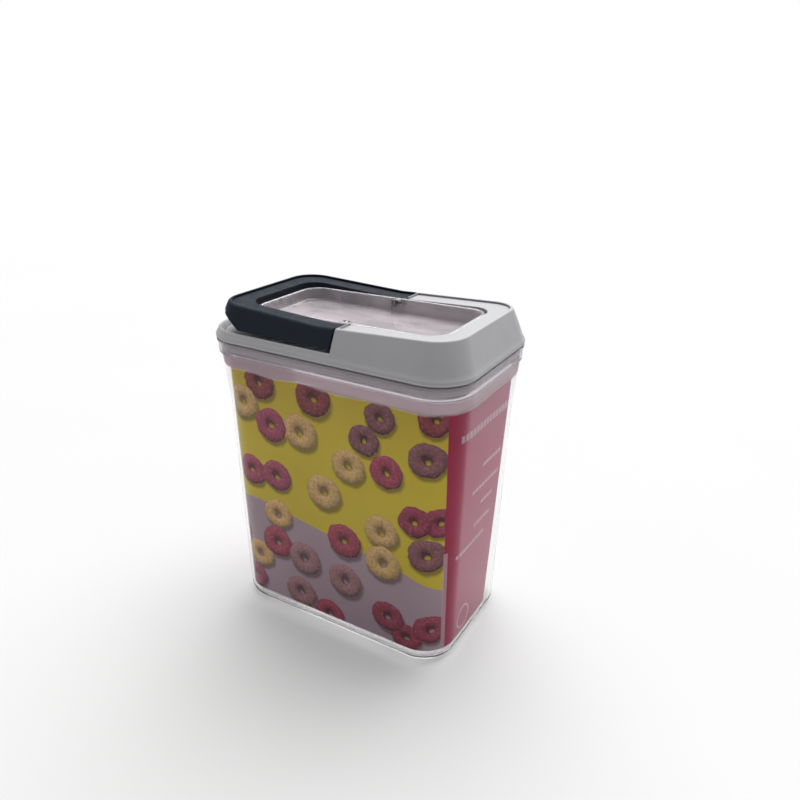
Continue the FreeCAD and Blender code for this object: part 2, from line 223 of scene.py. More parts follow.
def silicone_rubber():
    """Milky soft rubber with a faint bloom."""
    material, nodes, shader = new_material("silicone")
    position = object_position(nodes)
    bloom = nodes.noise(position, 90, 3)
    nodes.plug(nodes.mix(bloom, (0.80, 0.80, 0.80, 1), (0.9, 0.9, 0.9, 1)), shader.inputs["Base Color"])
    set_inputs(shader, {"Roughness": 0.45, "Subsurface Weight": 0.35,
                        "Subsurface Radius": (0.004, 0.004, 0.004)})
    nodes.plug(nodes.bump(nodes.noise(position, 900, 2), 0.2, 0.0001), shader.inputs["Normal"])
    return material


def ground_steel():
    """Bright steel with fine grinding lines along the pin."""
    material, nodes, shader = new_material("ground_steel")
    position = object_position(nodes)
    stretch = nodes.vector("MULTIPLY", position, (1, 0.05, 1))
    lines = nodes.noise(stretch, 3000, 3)
    set_inputs(shader, {"Base Color": (0.62, 0.62, 0.63, 1), "Metallic": 1.0})
    nodes.plug(nodes.step(lines, 0.3, 0.7, 0.22, 0.4), shader.inputs["Roughness"])
    nodes.plug(nodes.bump(lines, 0.2, 0.00004), shader.inputs["Normal"])
    return material


# ---- printed card ----------------------------------------
# Print coordinates: across is the distance along the card from the middle of its front
# panel, up is the height above the table. Both are in millimetres here.
FOLD_ACROSS = 90.0
TAN = (0.84, 0.54, 0.22)
MAROON = (0.37, 0.085, 0.09)
MAGENTA = (0.50, 0.11, 0.18)
PURPLE = (0.34, 0.14, 0.15)
RED = (0.51, 0.10, 0.15)
CRIMSON = (0.41, 0.075, 0.12)
MAUVE = (0.49, 0.25, 0.26)
YELLOW_TAN = (0.88, 0.54, 0.22)
RINGS = (                    # across, up, diameter, colour
    (-55, 189, 27, MAROON), (-71, 171, 27, TAN), (-9, 187, 29, MAROON), (-22, 159, 29, TAN),
    (-47, 158, 28, MAGENTA), (43, 185, 24, PURPLE), (31, 166, 24, PURPLE), (82, 191, 24, MAROON),
    (77, 163, 27, PURPLE), (18, 143, 27, TAN), (48, 147, 26, RED), (-68, 117, 26, MAGENTA),
    (-45, 118, 26, MAGENTA), (-3, 117, 29, TAN), (-46, 85, 26, YELLOW_TAN), (-88, 60, 24, MAGENTA),
    (-66, 44, 26, YELLOW_TAN), (-48, 60, 28, RED), (-23, 54, 29, MAUVE), (-74, 21, 25, MAGENTA),
    (13, 82, 29, RED), (44, 100, 27, TAN), (45, 75, 29, TAN), (87, 117, 25, CRIMSON),
    (69, 116, 25, CRIMSON), (78, 91, 28, PURPLE), (-28, 22, 28, MAUVE), (13, 48, 29, MAUVE),
    (-2, 12, 27, RED), (64, 19, 25, CRIMSON), (49, 31, 27, CRIMSON), (82, 29, 26, CRIMSON),
)
BARS = (                     # plain marks on the right end panel: across, up, length, height
    (136, 175, 72, 5), (148, 142, 30, 3), (140, 126, 42, 3), (143, 112, 20, 3), (138, 97, 26, 3),
    (121, 84, 42, 3),
)
PAPER_EDGE = (FOLD_ACROSS + 1, 50, 3.2, 84)      # unprinted edge low on the fold
BADGE = (116, 23, 9)         # a plain circle low on the right end panel: across, up, radius
SHADED_BAND_WIDTH = 14.5            # painted shade: the pink is darker in a band this wide beside each fold, where the card turns the corner
BORDER_HEIGHT = 82.6         # lower edge of the yellow field, at the middle of the front
BORDER_FALL = 0.165          # it falls to the right by this much for each millimetre,
BEND_FROM = 66.0             # and past this distance to either side it dips by this much more
BEND_FALL = 0.25
DASH_PITCH = 5.0
TUBE_MIDDLE = 0.61           # middle and half width of a ring's tube, of the ring's outer radius
TUBE_HALF = 0.39
RING_SQUASH = 1.06           # rings are a little wider than high
SHADOW_OFFSET = (-0.09, 0.22, 0.0)
LIGHT_ON_RINGS = (-0.30, 0.75, 0.0)
FLAT_LIGHT = 0.75            # light that reaches the top of the tube


def across_tube(nodes, place):
    """Signed place across the ring's tube, from -1 at the hole to 1 at the rim."""
    away = nodes.vector("LENGTH", place)
    return nodes.math("DIVIDE", nodes.math("SUBTRACT", away, TUBE_MIDDLE), TUBE_HALF)


def ring_group():
    """Adds one ring to what is gathered so far: its own coordinates, colour, cover and shadow."""
    tree = bpy.data.node_groups.new("cereal_ring", "ShaderNodeTree")
    vector, number, tone = "NodeSocketVector", "NodeSocketFloat", "NodeSocketColor"
    own = (("Position", vector), ("Centre", vector), ("Size", number), ("Color", tone))
    gathered = (("Local", vector), ("Tint", tone), ("Cover", number), ("Shadow", number))
    for name, kind in own + gathered:
        tree.interface.new_socket(name, in_out="INPUT", socket_type=kind)
    for name, kind in gathered:
        tree.interface.new_socket(name, in_out="OUTPUT", socket_type=kind)
    nodes = Nodes(tree)
    given = nodes.add("NodeGroupInput").outputs
    result = nodes.add("NodeGroupOutput").inputs
    offset = nodes.vector("SUBTRACT", given["Position"], given["Centre"])
    place = nodes.scaled(nodes.vector("MULTIPLY", offset, (1.0, RING_SQUASH, 0.0)), given["Size"])
    inside = nodes.step(across_tube(nodes, place), 1.0, 0.9)
    nodes.plug(nodes.mix(inside, given["Local"], place), result["Local"])
    nodes.plug(nodes.mix(inside, given["Tint"], given["Color"]), result["Tint"])
    nodes.plug(nodes.math("MAXIMUM", given["Cover"], inside), result["Cover"])
    cast = across_tube(nodes, nodes.vector("ADD", place, SHADOW_OFFSET))
    shadow = nodes.step(nodes.math("ABSOLUTE", cast), 1.3, 0.7)
    nodes.plug(nodes.math("MAXIMUM", given["Shadow"], shadow), result["Shadow"])
    return tree


def shaded_ring(nodes, local, tint, crumb):
    """Crumbly lit tube in one ring's colour, with a dark hole."""
    across = across_tube(nodes, local)
    outward = nodes.scaled(nodes.vector("NORMALIZE", local), across)
    squared = nodes.math("MULTIPLY", across, across)
    rise = nodes.math("SQRT", nodes.math("SUBTRACT", 1.0, squared, clamp=True))
    slope = nodes.vector("DOT_PRODUCT", outward, LIGHT_ON_RINGS)
    light = nodes.math("ADD", slope, nodes.math("MULTIPLY", rise, FLAT_LIGHT))
    lit = nodes.math("MAXIMUM", nodes.math("ADD", nodes.math("MULTIPLY", light, 0.55), 0.45), 0.05)
    pits = nodes.step(crumb, 0.34, 0.60, 0.74, 1.10)
    shaded = nodes.scaled(tint, nodes.math("MULTIPLY", lit, pits))
    sugar = nodes.math("MULTIPLY", nodes.step(crumb, 0.58, 0.66), 0.26)
    sugared = nodes.mix(sugar, shaded, (0.72, 0.50, 0.48, 1))
    hole = nodes.step(across, -0.80, -1.05)
    return nodes.mix(hole, sugared, nodes.scaled(tint, 0.32))


def hole_opening(nodes, local):
    """1 where the ground shows through a ring's hole, low in the hole."""
    away = nodes.vector("LENGTH", nodes.vector("ADD", local, (-0.05, 0.07, 0.0)))
    return nodes.step(away, 0.19, 0.10)


def bar_mask(nodes, across, up, bar):
    """1 inside one plain bar, 0 outside, with soft edges."""
    middle, height, length, thickness = bar
    beside = nodes.math("ABSOLUTE", nodes.math("SUBTRACT", across, middle * MM))
    above = nodes.math("ABSOLUTE", nodes.math("SUBTRACT", up, height * MM))
    inside_x = nodes.step(beside, (length / 2 + 0.3) * MM, (length / 2 - 0.3) * MM)
    inside_z = nodes.step(above, (thickness / 2 + 0.3) * MM, (thickness / 2 - 0.3) * MM)
    return nodes.math("MULTIPLY", inside_x, inside_z)


def dashes(nodes, across):
    """Even gaps along the bars."""
    wave = nodes.math("SINE", nodes.math("MULTIPLY", across, 2 * math.pi / (DASH_PITCH * MM)))
    return nodes.step(wave, -0.7, -0.3, 0.25, 1.0)


def badge_mask(nodes, across, up):
    """1 on a thin circle, 0 elsewhere."""
    middle, height, radius = BADGE
    offset = nodes.add("ShaderNodeCombineXYZ")
    nodes.plug(nodes.math("SUBTRACT", across, middle * MM), offset.inputs["X"])
    nodes.plug(nodes.math("SUBTRACT", up, height * MM), offset.inputs["Y"])
    away = nodes.vector("LENGTH", offset.outputs["Vector"])
    from_line = nodes.math("ABSOLUTE", nodes.math("SUBTRACT", away, radius * MM))
    return nodes.step(from_line, 0.9 * MM, 0.4 * MM)


def wavy(nodes, print_place):
    """The print's place with small waves, so that the rings' outlines are uneven."""
    place = print_place
    for scale, reach in ((70, 3.0 * MM), (190, 2.4 * MM)):
        wobble = nodes.add("ShaderNodeTexNoise")
        wobble.inputs["Scale"].default_value = scale
        nodes.plug(print_place, wobble.inputs["Vector"])
        bend = nodes.vector("SUBTRACT", wobble.outputs["Color"], (0.5, 0.5, 0.5))
        place = nodes.vector("ADD", place, nodes.scaled(bend, reach))
    return nodes.vector("MULTIPLY", place, (1, 1, 0))


def two_fields(nodes, print_place, across, up, side):
    """Yellow field above a lilac one, with a border that slopes and bends at the folds."""
    bend = nodes.math("MAXIMUM", nodes.math("SUBTRACT", side, BEND_FROM * MM), 0)
    corner_dip = nodes.math("MULTIPLY", bend, BEND_FALL)
    fall = nodes.math("ADD", nodes.math("MULTIPLY", across, BORDER_FALL), corner_dip)
    border = nodes.math("ADD", up, fall)
    upper = nodes.step(border, (BORDER_HEIGHT - 0.2) * MM, (BORDER_HEIGHT + 0.2) * MM)
    tone = nodes.step(nodes.noise(print_place, 9, 2), 0.3, 0.7)
    yellow = nodes.mix(tone, (0.68, 0.52, 0.040, 1), (0.76, 0.585, 0.055, 1))
    lilac = nodes.mix(tone, (0.45, 0.33, 0.38, 1), (0.51, 0.38, 0.44, 1))
    return nodes.mix(upper, lilac, yellow)


def gather_rings(nodes, place):
    """Local place, colour, cover and shadow of all the rings; later ones lie on top."""
    group = ring_group()
    gathered = {}
    for ring_across, ring_up, diameter, ring_color in RINGS:
        ring = nodes.add("ShaderNodeGroup", node_tree=group)
        nodes.plug(place, ring.inputs["Position"])
        set_inputs(ring, {"Centre": (ring_across * MM, ring_up * MM, 0), "Size": 2 / (diameter * MM),
                          "Color": (*ring_color, 1)})
        for name, output in gathered.items():
            nodes.plug(output, ring.inputs[name])
        gathered = {output.name: output for output in ring.outputs}
    return gathered


def printed_card():
    """Front print with cereal rings on two colours, pink end panels with plain pale bars."""
    material, nodes, shader = new_material("card_print")
    print_place = nodes.add("ShaderNodeUVMap", uv_map="print").outputs["UV"]
    place = wavy(nodes, print_place)
    crumb = nodes.noise(print_place, 460, 4, 0.65)
    straight = nodes.add("ShaderNodeSeparateXYZ")
    nodes.plug(print_place, straight.inputs[0])
    across, up = straight.outputs["X"], straight.outputs["Y"]
    side = nodes.math("ABSOLUTE", across)

    color = two_fields(nodes, print_place, across, up, side)
    gathered = gather_rings(nodes, place)
    darkened = nodes.math("MULTIPLY", gathered["Shadow"], 0.62)
    ground = nodes.mix(darkened, color, (0.06, 0.03, 0.03, 1))
    ring_look = shaded_ring(nodes, gathered["Local"], gathered["Tint"], crumb)
    seen_through = nodes.math("MULTIPLY", hole_opening(nodes, gathered["Local"]), 0.75)
    solid = nodes.math("SUBTRACT", 1.0, seen_through)
    color = nodes.mix(nodes.math("MULTIPLY", gathered["Cover"], solid), ground, ring_look)

    past_fold = nodes.step(side, (FOLD_ACROSS - 0.2) * MM, (FOLD_ACROSS + 0.2) * MM)
    shaded_band_end = FOLD_ACROSS + SHADED_BAND_WIDTH
    # painted shade: darker pink beside each fold, where the card curves round the corner, and the panel's
    # own pink past it
    past_shaded_band = nodes.step(side, (shaded_band_end - 2.5) * MM, (shaded_band_end + 2.5) * MM)
    pink = nodes.mix(past_shaded_band, (0.41, 0.015, 0.07, 1), (0.47, 0.015, 0.11, 1))
    marks = badge_mask(nodes, across, up)
    gaps = dashes(nodes, across)
    for bar in BARS:
        mark = nodes.math("MULTIPLY", bar_mask(nodes, across, up, bar), gaps)
        marks = nodes.math("MAXIMUM", marks, mark)
    edge = nodes.math("MULTIPLY", bar_mask(nodes, across, up, PAPER_EDGE), 0.6)
    pink = nodes.mix(nodes.math("MULTIPLY", marks, 0.55), pink, (0.85, 0.70, 0.76, 1))
    color = nodes.mix(past_fold, color, pink)
    nodes.plug(nodes.mix(edge, color, (0.66, 0.50, 0.56, 1)), shader.inputs["Base Color"])
    set_inputs(shader, {"Roughness": 0.55, "Specular IOR Level": 0.02})
    fiber = nodes.noise(print_place, 1500, 3)
    nodes.plug(nodes.bump(fiber, 0.15, 0.00004), shader.inputs["Normal"])
    return material


def bare_card():
    """Uncoated inside of the card, with the print's pink showing through faintly."""
    material, nodes, shader = new_material("card_back")
    position = object_position(nodes)
    fiber = nodes.noise(nodes.vector("MULTIPLY", position, (1, 1, 0.5)), 900, 3)
    nodes.plug(nodes.mix(fiber, (0.80, 0.70, 0.73, 1), (0.87, 0.77, 0.80, 1)), shader.inputs["Base Color"])
    shader.inputs["Roughness"].default_value = 0.8
    nodes.plug(nodes.bump(fiber, 0.2, 0.00005), shader.inputs["Normal"])
    return material


# ---- mesh helpers ----------------------------------------
# A section is (half length, half width, corner radius) of a rounded rectangle, in millimetres.
CORNER_STEPS = 16
ALONG_X = (60, 40, 20, 10.1, 8.9, 7.7, -4, -20, -40, -60)    # extra points on the long sides


def inset(section, amount):
    """Section drawn in by an amount all round."""
    return tuple(size - amount for size in section)


def between(low, high, share):
    """Section part of the way from one to another."""
    return tuple(a + (b - a) * share for a, b in zip(low, high))


def outline(section, along=ALONG_X):
    """Points round a rounded rectangle, counter-clockwise from the right end."""
    half_length, half_width, radius = section
    points = []
    for corner in range(4):
        sign_x = 1 if corner in (0, 3) else -1
        sign_y = 1 if corner in (0, 1) else -1
        for step in range(CORNER_STEPS + 1):
            turn = math.pi / 2 * (corner + step / CORNER_STEPS)
            points.append((sign_x * (half_length - radius) + radius * math.cos(turn),
                           sign_y * (half_width - radius) + radius * math.sin(turn)))
        if corner == 0:
            points += [(x, half_width) for x in along]
        if corner == 2:
            points += [(x, -half_width) for x in reversed(along)]
    return points


def loop_at(section, height):
    """One loop of points. Section and height may be functions, of the height and of x."""
    if not callable(section) and not callable(height):
        return [(x, y, height) for x, y in outline(section)]
    section_at = section if callable(section) else (lambda z: section)
    height_at = height if callable(height) else (lambda x: height)
    count = 4 * (CORNER_STEPS + 1) + 2 * len(ALONG_X)
    heights = [height_at(0)] * count
    for _ in range(4):
        outlines = {z: outline(section_at(z)) for z in set(heights)}
        points = [outlines[heights[index]][index] for index in range(count)]
        heights = [height_at(x) for x, y in points]
    return [(x, y, z) for (x, y), z in zip(points, heights)]


def skin(loops, closed):
    """Vertices and quads through loops of equal length, capped at both ends unless closed."""
    count = len(loops[0])
    vertices = [Vector(point) * MM for loop in loops for point in loop]
    faces = []
    spans = len(loops) if closed else len(loops) - 1
    for level in range(spans):
        low = level * count
        high = ((level + 1) % len(loops)) * count
        for index in range(count):
            following = (index + 1) % count
            faces.append((low + index, low + following, high + following, high + index))
    if not closed:
        faces.append(tuple(reversed(range(count))))
        faces.append(tuple((len(loops) - 1) * count + index for index in range(count)))
    return vertices, faces


def shell(loops, closed=True, keep=None):
    """Closed bmesh through loops; keep = (x, side) cuts it at a plane and caps the cut."""
    vertices, faces = skin(loops, closed)
    body = bmesh.new()
    made = [body.verts.new(vertex) for vertex in vertices]
    for face in faces:
        body.faces.new([made[index] for index in face])
    if keep:
        x, side = keep
        geometry = body.verts[:] + body.edges[:] + body.faces[:]
        bmesh.ops.bisect_plane(body, geom=geometry, dist=1e-6, plane_co=(x * MM, 0, 0),
                               plane_no=(1, 0, 0), clear_outer=side < 0, clear_inner=side > 0)
        rim = [edge for edge in body.edges if edge.is_boundary]
        bmesh.ops.edgeloop_fill(body, edges=rim)
    bmesh.ops.recalc_face_normals(body, faces=body.faces[:])
    return body


def add_object(name, data):
    """New object, linked into the scene."""
    made = bpy.data.objects.new(name, data)
    bpy.context.collection.objects.link(made)
    return made


def piece_from(name, bodies, material, sharp=35):
    """One object from closed bmeshes, smooth except at edges sharper than an angle."""
    mesh = bpy.data.meshes.new(name)
    whole = bmesh.new()
    for body in bodies:
        part = bpy.data.meshes.new("part")
        body.to_mesh(part)
        whole.from_mesh(part)
        body.free()
        bpy.data.meshes.remove(part)
    whole.to_mesh(mesh)
    whole.free()
    for polygon in mesh.polygons:
        polygon.use_smooth = True
    mesh.set_sharp_from_angle(angle=math.radians(sharp))
    mesh.materials.append(material)
    piece = add_object(name, mesh)
    weighted = piece.modifiers.new("even_shading", "WEIGHTED_NORMAL")
    weighted.keep_sharp = True
    return piece


def place_piece(piece, body, nodes):
    """Fix a piece to its body, in place of the CAD nodes it stands for."""
    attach(piece, body)
    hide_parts(*nodes)


def arc(start, end, steps):
    """Angles from one to another in degrees, returned in radians."""
    return [math.radians(start + (end - start) * step / steps) for step in range(steps + 1)]


# ---- container -------------------------------------------
BODY_BASE = (91.0, 56.0, 26.0)
BODY_SHOULDER = (95.6, 57.4, 25.5)
SHOULDER_Z = 172.0
SHOULDER_EASE = 10.0         # the bend at the shoulder is eased this far up and down
NECK_TOP = (98.3, 59.8, 25.5)
NECK_TOP_Z = 204.4
COLLAR_LOW = (99.0, 61.8, 26.3)
COLLAR_LOW_Z = 205.4
COLLAR_HIGH = (99.2, 62.4, 26.8)
COLLAR_HIGH_Z = 213.0
FLANGE = (99.8, 63.2, 27.2)
FLANGE_TOP = 215.6
NECK_BORE = (97.0, 60.2, 24.8)
BORE_FOOT_Z = 205.0          # where the bore for the lid's plug ends
WALL = 1.6
FLOOR = 2.6
BASE_ROUNDING = 8.5
BASE_RECESS = 1.0
FOOT_RING_WIDTH = 14.0


def body_section(z):
    """Outer section of the body and neck."""
    lower = between(BODY_BASE, BODY_SHOULDER, z / SHOULDER_Z)
    upper = between(BODY_SHOULDER, NECK_TOP, (z - SHOULDER_Z) / (NECK_TOP_Z - SHOULDER_Z))
    share = min(max((z - SHOULDER_Z + SHOULDER_EASE) / (2 * SHOULDER_EASE), 0), 1)
    if share in (0, 1):
        return upper if share else lower
    bend = [(neck - body) / (NECK_TOP_Z - SHOULDER_Z) - (body - base) / SHOULDER_Z
            for base, body, neck in zip(BODY_BASE, BODY_SHOULDER, NECK_TOP)]
    return tuple(size + turn * SHOULDER_EASE * share * share for size, turn in zip(lower, bend))


def foot_profile():
    """Recessed base and the foot ring that the container stands on."""
    ring_edge = 0.4
    return [(inset(BODY_BASE, FOOT_RING_WIDTH + 1.5), BASE_RECESS),
            (inset(BODY_BASE, FOOT_RING_WIDTH + ring_edge), BASE_RECESS),
            (inset(BODY_BASE, FOOT_RING_WIDTH), BASE_RECESS - ring_edge),
            (inset(BODY_BASE, FOOT_RING_WIDTH - 0.2), 0),
            (inset(BODY_BASE, BASE_ROUNDING + 0.5), 0)]


def collar_profile():
    """Outside of the collar above the neck's step, over the flange and down the bore."""
    profile = []
    for share in (0.0, 0.2, 0.5, 0.8, 1.0):
        z = NECK_TOP_Z + share * (COLLAR_LOW_Z - NECK_TOP_Z)
        profile.append((between(NECK_TOP, COLLAR_LOW, share), z))
    profile += [(between(COLLAR_LOW, COLLAR_HIGH, 0.1), COLLAR_LOW_Z + 0.5),
                (COLLAR_HIGH, COLLAR_HIGH_Z - 0.3), (inset(COLLAR_HIGH, -0.1), COLLAR_HIGH_Z),
                (inset(FLANGE, 0.2), COLLAR_HIGH_Z + 0.4), (FLANGE, COLLAR_HIGH_Z + 0.8),
                (FLANGE, FLANGE_TOP - 0.7), (inset(FLANGE, 0.15), FLANGE_TOP - 0.2),
                (inset(FLANGE, 0.6), FLANGE_TOP), (inset(NECK_BORE, -0.5), FLANGE_TOP),
                (inset(NECK_BORE, -0.12), FLANGE_TOP - 0.15), (NECK_BORE, FLANGE_TOP - 0.6),
                (NECK_BORE, BORE_FOOT_Z + 1.4)]
    neck_inside = inset(NECK_TOP, WALL)
    for share in (1.0, 0.8, 0.5, 0.2, 0.0):
        profile.append((between(neck_inside, NECK_BORE, share), BORE_FOOT_Z + share))
    return profile


def container_profile():
    """Base, outside, flange, bore, inside and floor, as (section, height)."""
    profile = foot_profile()
    for turn in arc(0, 90, 10):
        z = BASE_ROUNDING * (1 - math.cos(turn))
        profile.append((inset(body_section(z), BASE_ROUNDING * (1 - math.sin(turn))), z))
    shoulder_levels = [SHOULDER_Z + offset for offset in range(-10, 11, 2)]
    outside_levels = [12, 40, 80, 120, 150] + shoulder_levels + [190, 200, 203.6, 204.1]
    profile += [(body_section(z), z) for z in outside_levels]
    profile += collar_profile()
    inside_levels = [200, 190] + shoulder_levels[::-1] + [150, 120, 80, 40, 14]
    profile += [(inset(body_section(z), WALL), z) for z in inside_levels]
    rounding = BASE_ROUNDING - WALL
    for turn in arc(90, 0, 8):
        z = FLOOR + rounding * (1 - math.cos(turn))
        profile.append((inset(body_section(z), WALL + rounding * (1 - math.sin(turn))), z))
    profile.append((inset(BODY_BASE, 12.0), FLOOR))
    return profile


def build_container(material):
    """One closed skin from the base over the flange to the inside floor."""
    loops = [loop_at(section, z) for section, z in container_profile()]
    piece = piece_from("container_shell", [shell(loops, closed=False)], material, sharp=60)
    place_piece(piece, "container", ["container"])


# ---- insert card -----------------------------------------
CARD_GAP = 0.5
CARD_THICKNESS = 0.5
CARD_BACK_Y = 20.0
CARD_BACK_LEAN = 0.07


def card_section(z, amount):
    """Section of the card inside the container's wall."""
    return inset(between(BODY_BASE, BODY_SHOULDER, z / SHOULDER_Z), WALL + amount)


def card_path(z, amount):
    """Points along the card from the back of the left end, round the front, to the right end."""
    half_length, half_width, radius = card_section(z, amount)
    back = CARD_BACK_Y + CARD_BACK_LEAN * z
    points = []
    end_steps = 14
    for step in range(end_steps):
        y = back + (radius - half_width - back) * step / end_steps
        points.append((-half_length, y))
    for turn in arc(180, 270, CORNER_STEPS)[:-1]:
        points.append((-(half_length - radius) + radius * math.cos(turn),
                       -(half_width - radius) + radius * math.sin(turn)))
    front_steps = 15
    for step in range(front_steps + 1):
        points.append((-(half_length - radius) * (1 - step / front_steps), -half_width))
    return points + [(-x, y) for x, y in reversed(points[:-1])]


def build_card(material, backing):
    """Thin strip with a print face outside and a bare face inside."""
    low, high = (corner[2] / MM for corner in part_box("insert_card"))
    levels = 24
    print_rows, bare_rows, places = [], [], []
    for level in range(levels + 1):
        z = low + (high - low) * level / levels
        path = card_path(z, CARD_GAP)
        lengths = [0.0]
        for before, after in zip(path, path[1:]):
            lengths.append(lengths[-1] + math.dist(before, after))
        middle = lengths[len(lengths) // 2]
        print_rows.append([(x, y, z) for x, y in path])
        bare_rows.append([(x, y, z) for x, y in card_path(z, CARD_GAP + CARD_THICKNESS)])
        places.append([((length - middle) * MM, z * MM) for length in lengths])
    count = len(print_rows[0])
    loops = [print_row + bare_row[::-1] for print_row, bare_row in zip(print_rows, bare_rows)]
    vertices, faces = skin(loops, False)
    mesh = bpy.data.meshes.new("insert_card_print")
    mesh.from_pydata(vertices, [], faces)
    mesh.materials.append(material)
    mesh.materials.append(backing)
    uv = mesh.uv_layers.new(name="print")
    for polygon in mesh.polygons:
        columns = [vertex % (2 * count) for vertex in polygon.vertices]
        printed = len(columns) == 4 and max(columns) < count
        polygon.use_smooth = len(columns) == 4
        polygon.material_index = 0 if printed else 1
        for loop in polygon.loop_indices:
            vertex = mesh.loops[loop].vertex_index
            column = vertex % (2 * count)
            column = column if column < count else 2 * count - 1 - column
            uv.data[loop].uv = places[vertex // (2 * count)][column]
    mesh.set_sharp_from_angle(angle=math.radians(35))
    piece = add_object("insert_card_print", mesh)
    place_piece(piece, "container", ["insert_card"])


# ---- lid shape shared by the frame and the lever ---------
LIP = (100.0, 63.4, 27.4)
RIM_Z = 217.4                # the rim is widest here
BEVEL_FOOT_Z = 219.0
BEVEL_START = 0.3            # the bevel starts this far inside the rim
BEVEL_SLOPES = (0.37, 0.50, 0.34)    # how a section shrinks for each millimetre of height
SEAM_X = 8.9
SEAM_LIP_END = 10.1
VALLEY_X = -4.0
VALLEY_Z = 236.9
TOP_RISE = 0.045
OPENING = (77.2, 37.6, 14.6)
SKIN = 2.2


def bevel(amount=0.0):
    """Section of the bevelled outside as a function of height, drawn in by an amount."""
    def section(z):
        height = z - BEVEL_FOOT_Z
        return tuple(size - BEVEL_START - slope * height - amount for size, slope in zip(LIP, BEVEL_SLOPES))
    return section


def top(drop=0.0):
    """Height of the lid's top as a function of x, less a drop."""
    return lambda x: VALLEY_Z + TOP_RISE * abs(x - VALLEY_X) - drop


def part_way(low, drop, share):
    """Height between a level and the lid's top."""
    return lambda x: low + (top(drop)(x) - low) * share


def crest_and_deck(rounding, lip_width, deck_drop):
    """Profile from the outer wall over the raised crest to the edge of the opening."""
    profile = [(bevel(rounding * (1 - math.cos(turn))), top(rounding * (1 - math.sin(turn))))
               for turn in arc(0, 90, 6)]
    profile += [(bevel(lip_width - 0.5), top(0)), (bevel(lip_width - 0.15), top(0.12)),
                (bevel(lip_width), top(0.5)), (bevel(lip_width), top(deck_drop - 0.35)),
                (bevel(lip_width + 0.1), top(deck_drop - 0.1)), (bevel(lip_width + 0.4), top(deck_drop)),
                (inset(OPENING, -0.7), top(deck_drop)), (inset(OPENING, -0.2), top(deck_drop + 0.15)),
                (OPENING, top(deck_drop + 0.7))]
    return profile


# ---- lid frame -------------------------------------------
PLUG = (96.2, 59.4, 24.0)
PLUG_BOTTOM = 213.0
WEB_BOTTOM = 217.0
WEB_TOP = 219.4
SHOULDER_TOP = 222.8
FRAME_DECK_DROP = 1.5
FRAME_ROUNDING = 1.0         # of the crest's outer edge
FRAME_LIP = 2.2              # width of the raised crest
SHALLOW_COVE = (             # height above the bevel's foot, and how far the wall is drawn in there
    (0.8, 0.32), (1.8, 0.5), (3.2, 0.5), (5.5, 0.35), (9.0, 0.15), (12.0, 0.0),
)
BEVEL_FOOT = [(BEVEL_FOOT_Z + rise, amount) for rise, amount in SHALLOW_COVE]
CAM_PAD_X = (-2.4, 5.6)
CAM_PAD_Y = (40.2, 45.2)
CAM_PAD_TOP = 226.6


def rim_profile():
    """Plug, ledge and rounded rim, from the inside of the plug to the foot of the bevel."""
    return [(inset(PLUG, SKIN), WEB_BOTTOM), (inset(PLUG, SKIN), PLUG_BOTTOM), (PLUG, PLUG_BOTTOM),
            (PLUG, FLANGE_TOP), (inset(FLANGE, 0.9), FLANGE_TOP), (inset(FLANGE, 0.9), RIM_Z - 1.4),
            (inset(LIP, 0.85), RIM_Z - 1.4), (inset(LIP, 0.35), RIM_Z - 1.2),
            (inset(LIP, 0.08), RIM_Z - 0.6), (LIP, RIM_Z), (inset(LIP, 0.06), RIM_Z + 0.7),
            (inset(LIP, 0.2), RIM_Z + 1.3), (bevel(0.12), BEVEL_FOOT_Z + 0.2)]


def raised_profile():
    """The bevelled half with its deck and opening, hollow below."""
    roof = top(FRAME_DECK_DROP + SKIN)
    profile = rim_profile() + [(bevel(amount), z) for z, amount in BEVEL_FOOT]
    profile += crest_and_deck(FRAME_ROUNDING, FRAME_LIP, FRAME_DECK_DROP)
    return profile + [(OPENING, WEB_BOTTOM), (inset(OPENING, -SKIN), WEB_BOTTOM),
                      (inset(OPENING, -SKIN), roof), (bevel(SKIN), roof),
                      (bevel(SKIN), BEVEL_FOOT_Z), (bevel(SKIN), WEB_BOTTOM)]


def shoulder_profile():
    """The low shoulder, sloping down inside to the web under the lever."""
    return rim_profile() + [
        (bevel(0.3), BEVEL_FOOT_Z + 0.8), (bevel(0.42), BEVEL_FOOT_Z + 1.8),
        (bevel(0.35), SHOULDER_TOP - 0.9), (bevel(0.55), SHOULDER_TOP - 0.3), (bevel(0.95), SHOULDER_TOP),
        (bevel(1.5), SHOULDER_TOP), (bevel(2.0), SHOULDER_TOP - 0.15), (bevel(2.6), SHOULDER_TOP - 0.5),
        (bevel(6.4), WEB_TOP + 0.4), (bevel(7.0), WEB_TOP + 0.1), (bevel(7.6), WEB_TOP),
        (inset(OPENING, -0.4), WEB_TOP), (OPENING, WEB_TOP - 0.4), (OPENING, WEB_BOTTOM)]


def build_frame(material):
    """Raised half, low shoulder, seam lips and cam pads, each a closed shell."""
    raised_loops = [loop_at(section, height) for section, height in raised_profile()]
    shoulder_loops = [loop_at(section, height) for section, height in shoulder_profile()]
    bodies = [shell(raised_loops, keep=(SEAM_LIP_END, 1)), shell(shoulder_loops, keep=(SEAM_LIP_END, -1))]
    bodies += [seam_lip(side) for side in (-1, 1)]
    bodies += [cam_pad(side) for side in (-1, 1)]
    piece = piece_from("lid_frame_shell", bodies, material)
    place_piece(piece, "lid", ["lid_frame"])


